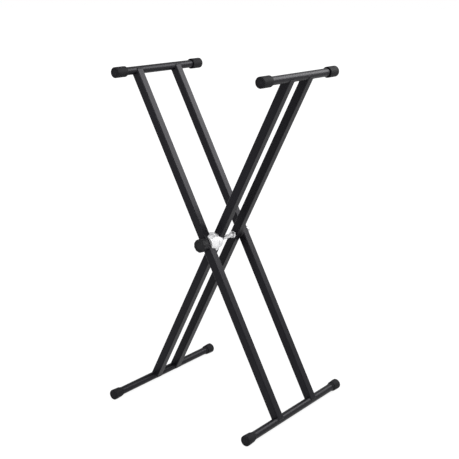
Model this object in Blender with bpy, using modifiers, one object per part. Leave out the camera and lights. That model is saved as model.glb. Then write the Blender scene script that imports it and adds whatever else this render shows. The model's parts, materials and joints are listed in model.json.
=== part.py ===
"""Double X keyboard stand: two crossed frames of square tube that turn on one clutch axle.

Units are metres, +Z is up and the floor is z = 0. The bars run along Y. The outer frame leans
towards -X at the top, the inner frame leans towards +X, and the knob is on the -Y side.
"""
import math

import bmesh
import bpy
from mathutils import Matrix

# Frames
TUBE_SIDE = 0.025
TUBE_WALL = 0.0015
TUBE_CORNER = 0.0026
BAR_DIAMETER = 0.023
BAR_WALL = 0.0015
UPPER_LEG = 0.538
LOWER_LEG = 0.5386
HALF_ANGLE = math.radians(27.43)
OUTER_SPACING = 0.170
INNER_SPACING = 0.0906
OUTER_TOP_LENGTH = 0.376
INNER_TOP_LENGTH = 0.360
FOOT_LENGTH = 0.472

# Shifts along Y from the middle of the outer legs
INNER_LEG_SHIFT = 0.0056
OUTER_TOP_SHIFT = 0.0095
INNER_TOP_SHIFT = 0.0065
OUTER_FOOT_SHIFT = -0.007
INNER_FOOT_SHIFT = -0.001

# End caps
CAP_DIAMETER = 0.031
CAP_BODY = 0.036
CAP_FLOOR = 0.005
CAP_RIM = 0.002
GROOVE_WIDTH = 0.0014
GROOVE_DEPTH = 0.0022
COLLAR_LENGTH = 0.006
COLLAR_DIAMETER = 0.029
COLLAR_LIP = 0.0012

# Axle and its hardware
AXLE_DIAMETER = 0.012
AXLE_CHAMFER = 0.001
SLEEVE_DIAMETER = 0.016
NUT_ACROSS_FLATS = 0.017
NUT_HEIGHT = 0.008
NUT_FLANGE_DIAMETER = 0.0205
NUT_FLANGE_HEIGHT = 0.0022
DOME_RADIUS = 0.0084
DOME_NUT_DEPTH = 0.013
WASHER_DIAMETER = 0.025
WASHER_THICKNESS = 0.0018
SPACER_DIAMETER = 0.028

# Clutch
CLUTCH_DIAMETER = 0.056
CLUTCH_END_DIAMETER = 0.044
CLUTCH_BAND = 0.004
CLUTCH_RIM = 0.0016
CHEEK_REACH = 0.0147
TOOTH_COUNT = 24
TOOTH_DEPTH = 0.002
SPRING_WELL_DIAMETER = 0.020
SPRING_WELL_DEPTH = 0.0033
SPRING_DIAMETER = 0.016
SPRING_WIRE = 0.0012
SPRING_TURNS = 2.5

# Knob
KNOB_DIAMETER = 0.039
KNOB_LENGTH = 0.022
KNOB_FRONT_ROUND = 0.003
KNOB_BACK_ROUND = 0.001
KNOB_HOLLOW_DIAMETER = 0.026
KNOB_HOLLOW_DEPTH = 0.0012
FLUTE_COUNT = 10
FLUTE_DIAMETER = 0.0065
FLUTE_BITE = 0.0012
INSERT_DIAMETER = 0.018
INSERT_LENGTH = 0.016
THREAD_ENGAGEMENT = 0.014

# Clearances and facets
GAP = 0.0003
CAP_FACETS = 24
BAR_FACETS = 24
SMALL_FACETS = 24
CLUTCH_FACETS = 48
KNOB_FACETS = 40
CORNER_STEPS = 3
FLUTE_FACETS = 16
SPRING_STEPS = 14
SHARP_ANGLE = math.radians(35)
MERGE = 0.00001
CUT_MARGIN = 0.002

# Places that follow from the sizes above
TUBE_HALF = TUBE_SIDE / 2
BAR_RADIUS = BAR_DIAMETER / 2
CAP_LENGTH = CAP_BODY + COLLAR_LENGTH
BORE_RADIUS = AXLE_DIAMETER / 2 + GAP
TOOTH_ROOT = AXLE_DIAMETER / 4
NUT_CORNER = NUT_ACROSS_FLATS / 2 / math.cos(math.pi / 6)
PIVOT_Y = -(OUTER_FOOT_SHIFT + INNER_FOOT_SHIFT) / 2
PIVOT_Z = LOWER_LEG * math.cos(HALF_ANGLE) + CAP_DIAMETER / 2 * math.cos(math.pi / CAP_FACETS)
OUTER_HALF = OUTER_SPACING / 2
INNER_HALF = INNER_SPACING / 2
OUTER_FACE = OUTER_HALF + TUBE_HALF
OUTER_INSIDE = OUTER_HALF - TUBE_HALF
INNER_FRONT = INNER_HALF + TUBE_HALF - INNER_LEG_SHIFT
INNER_REAR = INNER_HALF + TUBE_HALF + INNER_LEG_SHIFT
INNER_INSIDE = INNER_HALF - TUBE_HALF
CLUTCH_PLANE = (OUTER_INSIDE + INNER_FRONT) / 2
HALF_THICKNESS = CLUTCH_PLANE - GAP / 2 - (INNER_FRONT + GAP)
WASHER_OUTSIDE = OUTER_FACE + WASHER_THICKNESS + 2 * GAP
AXLE_FRONT = WASHER_OUTSIDE + THREAD_ENGAGEMENT
AXLE_REAR = WASHER_OUTSIDE + DOME_NUT_DEPTH - 2 * GAP

FACE_FRONT = Matrix.Rotation(math.radians(90), 4, "X")
FACE_BACK = Matrix.Rotation(math.radians(-90), 4, "X")


def clear_scene():
    """Remove what the file holds before the stand is built."""
    for item in list(bpy.data.objects):
        bpy.data.objects.remove(item, do_unlink=True)


def make_collection(name):
    """Link a new collection to the scene."""
    group = bpy.data.collections.new(name)
    bpy.context.scene.collection.children.link(group)
    return group


def make_material(name, colour, roughness, metallic=0.0):
    """A plain Principled finish."""
    material = bpy.data.materials.new(name)
    material.use_nodes = True
    shader = material.node_tree.nodes["Principled BSDF"]
    shader.inputs["Base Color"].default_value = (*colour, 1.0)
    shader.inputs["Roughness"].default_value = roughness
    shader.inputs["Metallic"].default_value = metallic
    return material


clear_scene()
STAND = make_collection("double_x_keyboard_stand")
CUTTERS = make_collection("cutters")
COAT = make_material("black_powder_coat", (0.022, 0.022, 0.024), 0.5)
RUBBER = make_material("black_rubber", (0.018, 0.018, 0.019), 0.75)
PLASTIC = make_material("black_plastic", (0.020, 0.020, 0.021), 0.45)
ZINC = make_material("cast_zinc", (0.80, 0.80, 0.81), 0.32, 1.0)
STEEL = make_material("plated_steel", (0.62, 0.62, 0.63), 0.28, 1.0)
BRASS = make_material("brass", (0.72, 0.52, 0.22), 0.35, 1.0)
NYLON = make_material("black_nylon", (0.025, 0.025, 0.026), 0.55)


def frame_pivot(name, lean):
    """An empty on the axle that carries one frame, with its Z along that frame's legs."""
    pivot = bpy.data.objects.new(name, None)
    pivot.matrix_world = Matrix.Translation((0, PIVOT_Y, PIVOT_Z)) @ Matrix.Rotation(lean, 4, "Y")
    STAND.objects.link(pivot)
    return pivot


OUTER = frame_pivot("outer_frame_pivot", -HALF_ANGLE)
INNER = frame_pivot("inner_frame_pivot", HALF_ANGLE)
LEVEL = frame_pivot("axle_line", 0.0)


def place(name, mesh, material, parent, local):
    """Make the named sub-part from its mesh, placed in its parent's frame."""
    part = bpy.data.objects.new(name, mesh)
    mesh.materials.clear()
    mesh.materials.append(material)
    mesh.shade_smooth()
    mesh.set_sharp_from_angle(angle=SHARP_ANGLE)
    STAND.objects.link(part)
    part.parent = parent
    part.matrix_local = local
    return part


def cutter(mesh, parent, local):
    """A wire-drawn helper that only cuts."""
    tool = bpy.data.objects.new("cut", mesh)
    tool.hide_render = True
    tool.display_type = "WIRE"
    CUTTERS.objects.link(tool)
    tool.parent = parent
    tool.matrix_local = local
    return tool


def combine(part, tool, operation="DIFFERENCE"):
    """Cut or join with the exact solver."""
    modifier = part.modifiers.new(operation.lower(), "BOOLEAN")
    modifier.operation = operation
    modifier.solver = "EXACT"
    modifier.object = tool
    return modifier


def cylinder_mesh(radius, length, facets, radius_top=None):
    """A cylinder or cone about Z, centred on its own origin."""
    mesh = bpy.data.meshes.new("cylinder")
    shape = bmesh.new()
    top = radius if radius_top is None else radius_top
    bmesh.ops.create_cone(shape, cap_ends=True, segments=facets, radius1=radius, radius2=top, depth=length)
    shape.to_mesh(mesh)
    shape.free()
    return mesh


def box_mesh(x, y, z):
    """A box centred on its own origin."""
    mesh = bpy.data.meshes.new("box")
    shape = bmesh.new()
    bmesh.ops.create_cube(shape, size=1.0, matrix=Matrix.Diagonal((x, y, z, 1)))
    shape.to_mesh(mesh)
    shape.free()
    return mesh


def arc(centre, radius, start, end, steps):
    """Points of a round stretch of a profile, from start to end in degrees."""
    points = []
    for index in range(steps + 1):
        angle = math.radians(start + (end - start) * index / steps)
        points.append((centre[0] + radius * math.cos(angle), centre[1] + radius * math.sin(angle)))
    return points


def turned_mesh(profile, facets, closed, phase=0.0):
    """Turn a profile of (radius, height) points about Z; it runs down its outer side."""
    outline = bpy.data.meshes.new("profile")
    corners = [(r * math.cos(phase), r * math.sin(phase), z) for r, z in profile]
    edges = [(i, i + 1) for i in range(len(corners) - 1)]
    if closed:
        edges.append((len(corners) - 1, 0))
    outline.from_pydata(corners, edges, [])
    holder = bpy.data.objects.new("profile", outline)
    CUTTERS.objects.link(holder)
    screw = holder.modifiers.new("turn", "SCREW")
    screw.steps = facets
    screw.render_steps = facets
    screw.use_merge_vertices = True
    screw.merge_threshold = MERGE
    graph = bpy.context.evaluated_depsgraph_get()
    mesh = bpy.data.meshes.new_from_object(holder.evaluated_get(graph))
    bpy.data.objects.remove(holder, do_unlink=True)
    return mesh


def ring_profile(outer, inner, low, high, chamfer=0.0):
    """Closed section of a ring or sleeve, with an optional chamfer outside."""
    return [(outer, high - chamfer), (outer, low + chamfer), (outer - chamfer, low), (inner, low),
            (inner, high), (outer - chamfer, high)]


def rounded_square(side, corner):
    """Outline of a square with round corners."""
    reach = side / 2 - corner
    points = []
    for quarter, (sx, sy) in enumerate(((1, 1), (-1, 1), (-1, -1), (1, -1))):
        points += arc((sx * reach, sy * reach), corner, 90 * quarter, 90 * quarter + 90, CORNER_STEPS)
    return points


def square_tube_mesh(low, high):
    """Hollow square tube along Z between two heights."""
    curve = bpy.data.curves.new("tube_section", "CURVE")
    curve.dimensions = "2D"
    curve.fill_mode = "BOTH"
    curve.extrude = (high - low) / 2
    bore_corner = max(TUBE_CORNER - TUBE_WALL, TUBE_WALL / 2)
    outside = rounded_square(TUBE_SIDE, TUBE_CORNER)
    inside = rounded_square(TUBE_SIDE - 2 * TUBE_WALL, bore_corner)
    for outline in (outside, inside):
        spline = curve.splines.new("POLY")
        spline.points.add(len(outline) - 1)
        for point, (x, y) in zip(spline.points, outline):
            point.co = (x, y, 0, 1)
        spline.use_cyclic_u = True
    holder = bpy.data.objects.new("tube_section", curve)
    CUTTERS.objects.link(holder)
    graph = bpy.context.evaluated_depsgraph_get()
    mesh = bpy.data.meshes.new_from_object(holder.evaluated_get(graph))
    bpy.data.objects.remove(holder, do_unlink=True)
    shape = bmesh.new()
    shape.from_mesh(mesh)
    bmesh.ops.remove_doubles(shape, verts=shape.verts, dist=MERGE)
    bmesh.ops.translate(shape, verts=shape.verts, vec=(0, 0, (high + low) / 2))
    bmesh.ops.recalc_face_normals(shape, faces=shape.faces)
    shape.to_mesh(mesh)
    shape.free()
    return mesh


def leg_tube(name, pivot, y):
    """A square leg, coped to the round bars at both ends and bored for the axle sleeve."""
    part = place(name, square_tube_mesh(-LOWER_LEG, UPPER_LEG), COAT, pivot, Matrix.Translation((0, y, 0)))
    cope = cylinder_mesh(BAR_RADIUS + GAP, TUBE_SIDE + 2 * CUT_MARGIN, BAR_FACETS)
    for height in (UPPER_LEG, -LOWER_LEG):
        combine(part, cutter(cope, pivot, Matrix.Translation((0, y, height)) @ FACE_FRONT))
    bore = cylinder_mesh(SLEEVE_DIAMETER / 2 + GAP, TUBE_SIDE + 2 * CUT_MARGIN, SMALL_FACETS)
    combine(part, cutter(bore, pivot, Matrix.Translation((0, y, 0)) @ FACE_FRONT))
    section = ring_profile(SLEEVE_DIAMETER / 2, BORE_RADIUS, -TUBE_HALF, TUBE_HALF)
    sleeve = turned_mesh(section, SMALL_FACETS, True)
    place(name.replace("tube", "sleeve"), sleeve, STEEL, pivot, Matrix.Translation((0, y, 0)) @ FACE_FRONT)
    return part


def cap_mesh(lean):
    """A rubber end cap about Z: round body, dark groove and a collar that runs down to the bar."""
    radius = CAP_DIAMETER / 2
    hole = BAR_RADIUS + GAP
    groove = COLLAR_LENGTH + GROOVE_WIDTH
    profile = [(0, CAP_LENGTH)]
    profile += arc((radius - CAP_RIM, CAP_LENGTH - CAP_RIM), CAP_RIM, 90, 0, 3)
    profile += [(radius, groove), (radius - GROOVE_DEPTH, groove), (radius - GROOVE_DEPTH, COLLAR_LENGTH)]
    profile += [(COLLAR_DIAMETER / 2, COLLAR_LENGTH), (hole + COLLAR_LIP, 0), (hole, 0)]
    profile += [(hole, CAP_LENGTH - CAP_FLOOR), (0, CAP_LENGTH - CAP_FLOOR)]
    return turned_mesh(profile, CAP_FACETS, False, math.pi / CAP_FACETS + lean)


def capped_bar(name, pivot, lean, height, length, shift):
    """A round cross bar with its two caps; the length is over the caps."""
    bar_half = length / 2 - CAP_FLOOR - GAP
    section = ring_profile(BAR_RADIUS, BAR_RADIUS - BAR_WALL, -bar_half, bar_half)
    bar = turned_mesh(section, BAR_FACETS, True, math.pi / BAR_FACETS)
    place(name, bar, COAT, pivot, Matrix.Translation((0, shift, height)) @ FACE_FRONT)
    for end, side, turn in (("front", -1, FACE_FRONT), ("rear", 1, FACE_BACK)):
        seat = Matrix.Translation((0, shift + side * (length / 2 - CAP_LENGTH), height))
        place(f"{name}_{end}_cap", cap_mesh(-side * lean), RUBBER, pivot, seat @ turn)


def frame(name, pivot, lean, spacing, leg_shift, top_length, top_shift, foot_shift):
    """One X frame: two legs, a top bar and a foot bar with their caps."""
    for end, side in (("front", -1), ("rear", 1)):
        leg_tube(f"{name}_{end}_tube", pivot, leg_shift + side * spacing / 2)
    capped_bar(f"{name}_top_bar", pivot, lean, UPPER_LEG, top_length, top_shift)
    capped_bar(f"{name}_foot_bar", pivot, lean, -LOWER_LEG, FOOT_LENGTH, foot_shift)


def tooth_cutter(pivot, local):
    """Radial V grooves that leave the clutch teeth, one joined cutter."""
    mesh = bpy.data.meshes.new("tooth_grooves")
    shape = bmesh.new()
    outer = CLUTCH_DIAMETER / 2 + CUT_MARGIN
    for index in range(TOOTH_COUNT):
        radial = Matrix.Rotation(math.radians(-90), 4, "Y")
        middle = Matrix.Translation(((outer + TOOTH_ROOT) / 2, 0, 0))
        turn = Matrix.Rotation(2 * math.pi * (index + 0.5) / TOOTH_COUNT, 4, "Z")
        bmesh.ops.create_cone(shape, cap_ends=True, segments=4, radius1=TOOTH_DEPTH,
                              radius2=TOOTH_DEPTH * TOOTH_ROOT / outer, depth=outer - TOOTH_ROOT,
                              matrix=turn @ middle @ radial)
    shape.to_mesh(mesh)
    shape.free()
    return cutter(mesh, pivot, local)


def clutch_half(name, pivot, mating_y, towards):
    """A cast clutch half: toothed face at mating_y, tapering to the cheeks that embrace the tube."""
    radius = CLUTCH_DIAMETER / 2
    end_radius = CLUTCH_END_DIAMETER / 2
    length = HALF_THICKNESS + CHEEK_REACH + GAP
    profile = [(0, 0)]
    profile += arc((radius - CLUTCH_RIM, -CLUTCH_RIM), CLUTCH_RIM, 90, 0, 2)
    profile += [(radius, -CLUTCH_BAND)]
    profile += arc((end_radius - CLUTCH_RIM, -length + CLUTCH_RIM), CLUTCH_RIM, 0, -90, 2)
    profile += [(0, -length)]
    face_turn = FACE_BACK if towards > 0 else FACE_FRONT
    seat = Matrix.Translation((0, mating_y, 0)) @ face_turn
    part = place(name, turned_mesh(profile, CLUTCH_FACETS, False, math.pi / CLUTCH_FACETS), ZINC, pivot, seat)
    depth = CHEEK_REACH + GAP + CUT_MARGIN
    channel = box_mesh(TUBE_SIDE + 2 * GAP, depth, CLUTCH_DIAMETER + 2 * CUT_MARGIN)
    behind = mating_y - towards * (HALF_THICKNESS + depth / 2)
    combine(part, cutter(channel, pivot, Matrix.Translation((0, behind, 0))))
    bore = cylinder_mesh(BORE_RADIUS, 2 * length, SMALL_FACETS)
    combine(part, cutter(bore, pivot, seat))
    well = cylinder_mesh(SPRING_WELL_DIAMETER / 2, 2 * SPRING_WELL_DEPTH, SMALL_FACETS)
    combine(part, cutter(well, pivot, seat))
    combine(part, tooth_cutter(pivot, seat))
    return part


def clutch_spring(name, pivot, middle_y):
    """The coil that pushes the clutch halves apart, in the wells round the axle."""
    room = 2 * SPRING_WELL_DEPTH + GAP
    rise = room - SPRING_WIRE - 2 * GAP
    curve = bpy.data.curves.new(name, "CURVE")
    curve.dimensions = "3D"
    curve.bevel_depth = SPRING_WIRE / 2
    curve.bevel_resolution = 1
    curve.use_fill_caps = True
    steps = int(SPRING_TURNS * SPRING_STEPS)
    spline = curve.splines.new("POLY")
    spline.points.add(steps)
    for index, point in enumerate(spline.points):
        angle = 2 * math.pi * SPRING_TURNS * index / steps
        height = rise * (index / steps - 0.5)
        point.co = (SPRING_DIAMETER / 2 * math.cos(angle), height, SPRING_DIAMETER / 2 * math.sin(angle), 1)
    curve.materials.append(STEEL)
    part = bpy.data.objects.new(name, curve)
    STAND.objects.link(part)
    part.parent = pivot
    part.matrix_local = Matrix.Translation((0, middle_y, 0))
    return part


def flange_nut(name, y, towards):
    """A hexagon nut with a round flange, seated at y and standing towards the stand's middle."""
    rim = NUT_FLANGE_DIAMETER / 2
    chamfer = AXLE_CHAMFER / 2
    section = [(0, NUT_FLANGE_HEIGHT), (rim - chamfer, NUT_FLANGE_HEIGHT), (rim, NUT_FLANGE_HEIGHT - chamfer)]
    section += [(rim, chamfer), (rim - chamfer, 0), (0, 0)]
    turn = FACE_BACK if towards > 0 else FACE_FRONT
    seat = Matrix.Translation((0, y, 0)) @ turn
    part = place(name, turned_mesh(section, SMALL_FACETS, False), STEEL, LEVEL, seat)
    hexagon = cylinder_mesh(NUT_CORNER, NUT_HEIGHT - NUT_FLANGE_HEIGHT / 2, 6)
    middle = Matrix.Translation((0, 0, (NUT_HEIGHT + NUT_FLANGE_HEIGHT / 2) / 2))
    combine(part, cutter(hexagon, LEVEL, seat @ middle), "UNION")
    combine(part, cutter(cylinder_mesh(BORE_RADIUS, 3 * NUT_HEIGHT, SMALL_FACETS), LEVEL, seat))
    return part


def dome_nut(name, y):
    """The domed nut on the axle's rear end, with a blind bore."""
    profile = [(0, NUT_HEIGHT + DOME_RADIUS)]
    profile += arc((0, NUT_HEIGHT), DOME_RADIUS, 80, 0, 5) + [(DOME_RADIUS, CUT_MARGIN), (0, CUT_MARGIN)]
    seat = Matrix.Translation((0, y, 0)) @ FACE_BACK
    part = place(name, cylinder_mesh(NUT_CORNER, NUT_HEIGHT, 6), STEEL, LEVEL,
                 seat @ Matrix.Translation((0, 0, NUT_HEIGHT / 2)))
    combine(part, cutter(turned_mesh(profile, SMALL_FACETS, False), LEVEL, seat), "UNION")
    combine(part, cutter(cylinder_mesh(BORE_RADIUS, 2 * DOME_NUT_DEPTH, SMALL_FACETS), LEVEL, seat))
    return part


def plain_ring(name, material, outer, low, high):
    """A washer or spacer on the axle between two distances along Y."""
    section = ring_profile(outer / 2, BORE_RADIUS, low, high, AXLE_CHAMFER / 4)
    return place(name, turned_mesh(section, SMALL_FACETS, True), material, LEVEL, FACE_BACK)


def axle():
    """The threaded rod through all four tubes."""
    radius = AXLE_DIAMETER / 2
    profile = [(0, AXLE_REAR), (radius - AXLE_CHAMFER, AXLE_REAR), (radius, AXLE_REAR - AXLE_CHAMFER)]
    profile += [(radius, -AXLE_FRONT + AXLE_CHAMFER), (radius - AXLE_CHAMFER, -AXLE_FRONT), (0, -AXLE_FRONT)]
    return place("axle", turned_mesh(profile, SMALL_FACETS, False), STEEL, LEVEL, FACE_BACK)


def knob():
    """The clutch knob with grip flutes, a dished front and a socket for its brass insert."""
    radius = KNOB_DIAMETER / 2
    socket = INSERT_DIAMETER / 2 + GAP
    dish = KNOB_HOLLOW_DIAMETER / 2
    floor = KNOB_LENGTH - KNOB_HOLLOW_DEPTH
    profile = [(0, floor), (dish - KNOB_HOLLOW_DEPTH, floor), (dish, KNOB_LENGTH)]
    profile += arc((radius - KNOB_FRONT_ROUND, KNOB_LENGTH - KNOB_FRONT_ROUND), KNOB_FRONT_ROUND, 90, 0, 3)
    profile += arc((radius - KNOB_BACK_ROUND, KNOB_BACK_ROUND), KNOB_BACK_ROUND, 0, -90, 1)
    profile += [(socket, 0), (socket, INSERT_LENGTH + GAP), (0, INSERT_LENGTH + GAP)]
    seat = Matrix.Translation((0, -WASHER_OUTSIDE, 0)) @ FACE_FRONT
    part = place("knob", turned_mesh(profile, KNOB_FACETS, False), PLASTIC, LEVEL, seat)
    mesh = bpy.data.meshes.new("flutes")
    shape = bmesh.new()
    reach = radius + FLUTE_DIAMETER / 2 - FLUTE_BITE
    for index in range(FLUTE_COUNT):
        turn = Matrix.Rotation(2 * math.pi * index / FLUTE_COUNT, 4, "Z")
        bmesh.ops.create_cone(shape, cap_ends=True, segments=FLUTE_FACETS, radius1=FLUTE_DIAMETER / 2,
                              radius2=FLUTE_DIAMETER / 2, depth=2 * KNOB_LENGTH + CUT_MARGIN,
                              matrix=turn @ Matrix.Translation((reach, 0, KNOB_LENGTH / 2)))
    shape.to_mesh(mesh)
    shape.free()
    combine(part, cutter(mesh, LEVEL, seat))
    insert = ring_profile(INSERT_DIAMETER / 2, BORE_RADIUS, 0, INSERT_LENGTH)
    place("knob_insert", turned_mesh(insert, SMALL_FACETS, True), BRASS, LEVEL, seat)
    return part


frame("outer", OUTER, -HALF_ANGLE, OUTER_SPACING, 0.0,
      OUTER_TOP_LENGTH, OUTER_TOP_SHIFT, OUTER_FOOT_SHIFT)
frame("inner", INNER, HALF_ANGLE, INNER_SPACING, INNER_LEG_SHIFT,
      INNER_TOP_LENGTH, INNER_TOP_SHIFT, INNER_FOOT_SHIFT)
clutch_half("outer_clutch_half", OUTER, -CLUTCH_PLANE - GAP / 2, 1)
clutch_half("inner_clutch_half", INNER, -CLUTCH_PLANE + GAP / 2, -1)
clutch_spring("clutch_spring", LEVEL, -CLUTCH_PLANE)
flange_nut("front_inner_nut", INNER_LEG_SHIFT - INNER_INSIDE + GAP, 1)
flange_nut("rear_inner_nut", INNER_LEG_SHIFT + INNER_INSIDE - GAP, -1)
plain_ring("rear_spacer", NYLON, SPACER_DIAMETER, INNER_REAR + GAP, OUTER_INSIDE - GAP)
plain_ring("rear_washer", STEEL, WASHER_DIAMETER, OUTER_FACE + GAP, OUTER_FACE + GAP + WASHER_THICKNESS)
plain_ring("knob_washer", STEEL, WASHER_DIAMETER, -OUTER_FACE - GAP - WASHER_THICKNESS, -OUTER_FACE - GAP)
dome_nut("dome_nut", WASHER_OUTSIDE)
axle()
knob()
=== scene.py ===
"""The looks of the double X keyboard stand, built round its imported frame."""

import json
import math
from itertools import product

import bmesh
import bpy
from bpy.props import FloatProperty, FloatVectorProperty, IntProperty, PointerProperty
from mathutils import Matrix, Vector


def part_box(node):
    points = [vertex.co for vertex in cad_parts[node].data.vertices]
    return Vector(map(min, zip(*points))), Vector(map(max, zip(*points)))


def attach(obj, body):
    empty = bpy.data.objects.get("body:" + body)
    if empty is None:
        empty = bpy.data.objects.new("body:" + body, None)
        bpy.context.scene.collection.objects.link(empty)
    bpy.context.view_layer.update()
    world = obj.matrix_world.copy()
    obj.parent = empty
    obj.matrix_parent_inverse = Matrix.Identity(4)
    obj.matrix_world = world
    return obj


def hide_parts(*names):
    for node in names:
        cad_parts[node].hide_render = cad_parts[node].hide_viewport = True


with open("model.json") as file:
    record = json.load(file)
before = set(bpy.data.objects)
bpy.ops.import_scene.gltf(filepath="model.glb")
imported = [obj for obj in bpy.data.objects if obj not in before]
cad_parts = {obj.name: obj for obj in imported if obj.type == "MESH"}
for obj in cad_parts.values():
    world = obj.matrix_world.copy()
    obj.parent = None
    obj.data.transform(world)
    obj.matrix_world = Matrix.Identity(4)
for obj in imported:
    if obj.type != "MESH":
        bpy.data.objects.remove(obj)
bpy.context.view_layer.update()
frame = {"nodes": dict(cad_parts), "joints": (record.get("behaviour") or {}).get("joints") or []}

bl_info = {
    "name": "Double X keyboard stand",
    "version": (1, 0, 0),
    "blender": (4, 5, 0),
    "location": "View3D > Sidebar > Stand",
    "description": "Coated legs and bars, rubber caps, clutch, knob and hardware of a folding stand",
    "category": "Object",
}

# The two crossed frames, their bars, and the ends of bars and axle
FRAMES = ("outer", "inner")
BARS = ("top", "foot")
ENDS = ("front", "rear")

# Places read from the frame
FOLD = next(joint for joint in frame["joints"] if joint["name"] == "x_fold")
PIVOT = Vector(FOLD["pos_m"])
FACE_FRONT = Matrix.Rotation(math.radians(90), 4, "X")
FACE_BACK = Matrix.Rotation(math.radians(-90), 4, "X")


def box_middle(node):
    """The middle of a node's box."""
    low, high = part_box(node)
    return (Vector(low) + Vector(high)) / 2


def box_size(node):
    """The sides of a node's box."""
    low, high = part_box(node)
    return Vector(high) - Vector(low)


def end_of(node, side):
    """Where a node ends along Y: its rear end for side 1, its front end for side -1."""
    low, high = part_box(node)
    return high[1] if side > 0 else low[1]


# Facets round the frame's bars, whose box is measured across flats
FRAME_FACETS = 24
BAR_RADIUS = box_size("outer_top_bar").z / 2 / math.cos(math.pi / FRAME_FACETS)
CAP_RADIUS = box_size("outer_top_bar_front_cap").z / 2

# Radius of the holes round the axle: in its hardware, and in the legs for their sleeves
AXLE_BORE = 0.0063
LEG_BORE = 0.0083

# Facets round the turned shapes
BORE_FACETS = 48
WELL_FACETS = 64
BAR_FACETS = 96
RING_FACETS = 96
CLUTCH_FACETS = 144
NUT_FACETS = 144
KNOB_FACETS = 240
AXLE_FACETS = 28


class FrameSizes(bpy.types.PropertyGroup):
    """Sizes of the coated steel frames."""

    tube_side: FloatProperty(name="Tube side", description="Outside width of the square legs",
                             default=0.025, unit="LENGTH")
    tube_wall: FloatProperty(name="Tube wall", description="Wall of the square legs",
                             default=0.0015, unit="LENGTH")
    tube_corner: FloatProperty(name="Tube corner", description="Outside corner radius of the legs",
                               default=0.0026, unit="LENGTH")
    bar_wall: FloatProperty(name="Bar wall", description="Wall of the round bars",
                            default=0.0015, unit="LENGTH")
    seat_gap: FloatProperty(name="Seat gap", description="Clearance between touching pieces",
                            default=0.0003, unit="LENGTH")
    bead_radius: FloatProperty(name="Bead radius", description="Half the width of a weld bead",
                               default=0.0015, unit="LENGTH")
    ripple_pitch: FloatProperty(name="Ripple pitch", description="Distance between the ripples of a weld",
                                default=0.0021, unit="LENGTH")


class CapSizes(bpy.types.PropertyGroup):
    """Sizes of the rubber end caps."""

    rim_round: FloatProperty(name="Rim round", description="Radius of the end's rim",
                             default=0.0021, unit="LENGTH")
    edge_round: FloatProperty(name="Edge round", description="Radius of the edge at a body's inner end",
                              default=0.0008, unit="LENGTH")
    top_body: FloatProperty(name="Top cap body", description="Straight length of a cap on a top bar",
                            default=0.0405, unit="LENGTH")
    top_length: FloatProperty(name="Top cap length", description="Length of a cap on a top bar",
                              default=0.0425, unit="LENGTH")
    top_lip: FloatProperty(name="Top cap lip", description="Outside radius of a top cap's open end",
                           default=0.0142, unit="LENGTH")
    mouth_depth: FloatProperty(name="Mouth depth", description="Depth of the dark mouth round a top bar",
                               default=0.006, unit="LENGTH")
    foot_body: FloatProperty(name="Foot cap body", description="Length of a foot cap as far as its step",
                             default=0.0285, unit="LENGTH")
    foot_length: FloatProperty(name="Foot cap length", description="Length of a cap on a foot bar",
                               default=0.037, unit="LENGTH")
    foot_straight: FloatProperty(name="Foot cap straight", description="Full-size length on the floor",
                                 default=0.009, unit="LENGTH")
    foot_waist: FloatProperty(name="Foot cap waist", description="Radius of a foot cap beside its step",
                              default=0.0144, unit="LENGTH")
    collar_radius: FloatProperty(name="Collar radius", description="Radius of a foot cap's collar",
                                 default=0.0133, unit="LENGTH")
    step_width: FloatProperty(name="Step width", description="Width of the dark step",
                              default=0.0012, unit="LENGTH")
    step_depth: FloatProperty(name="Step depth", description="Depth of the step below the collar",
                              default=0.0006, unit="LENGTH")
    end_wall: FloatProperty(name="End wall", description="Thickness of the end wall",
                            default=0.005, unit="LENGTH")
    segments: IntProperty(name="Segments", description="Facets round a cap", default=96)


class ClutchSizes(bpy.types.PropertyGroup):
    """Sizes of the clutch, the knob and the hardware on the axle."""

    tooth_count: IntProperty(name="Teeth", description="Teeth on each clutch half", default=24)
    tooth_depth: FloatProperty(name="Tooth depth", description="Depth of the grooves at the rim",
                               default=0.002, unit="LENGTH")
    cheek_reach: FloatProperty(name="Cheek reach", description="How far the cheeks embrace a leg",
                               default=0.0147, unit="LENGTH")
    end_diameter: FloatProperty(name="End diameter", description="Clutch diameter at the end of its cheeks",
                                default=0.044, unit="LENGTH")
    band: FloatProperty(name="Band", description="Width of the full-size band beside the teeth",
                        default=0.004, unit="LENGTH")
    rim_round: FloatProperty(name="Rim round", description="Radius of the clutch rims",
                             default=0.0016, unit="LENGTH")
    well_radius: FloatProperty(name="Well radius", description="Radius of the spring well",
                               default=0.010, unit="LENGTH")
    well_depth: FloatProperty(name="Well depth", description="Depth of the spring well",
                              default=0.0033, unit="LENGTH")
    flutes: IntProperty(name="Flutes", description="Grip flutes round the knob", default=10)
    flute_depth: FloatProperty(name="Flute depth", description="Depth of a grip flute",
                               default=0.0012, unit="LENGTH")
    thread_pitch: FloatProperty(name="Thread pitch", description="Pitch of the axle's thread",
                                default=0.00175, unit="LENGTH")
    thread_depth: FloatProperty(name="Thread depth", description="Depth of the axle's thread",
                                default=0.0009, unit="LENGTH")
    across_flats: FloatProperty(name="Across flats", description="Width of the nuts",
                                default=0.017, unit="LENGTH")


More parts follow.
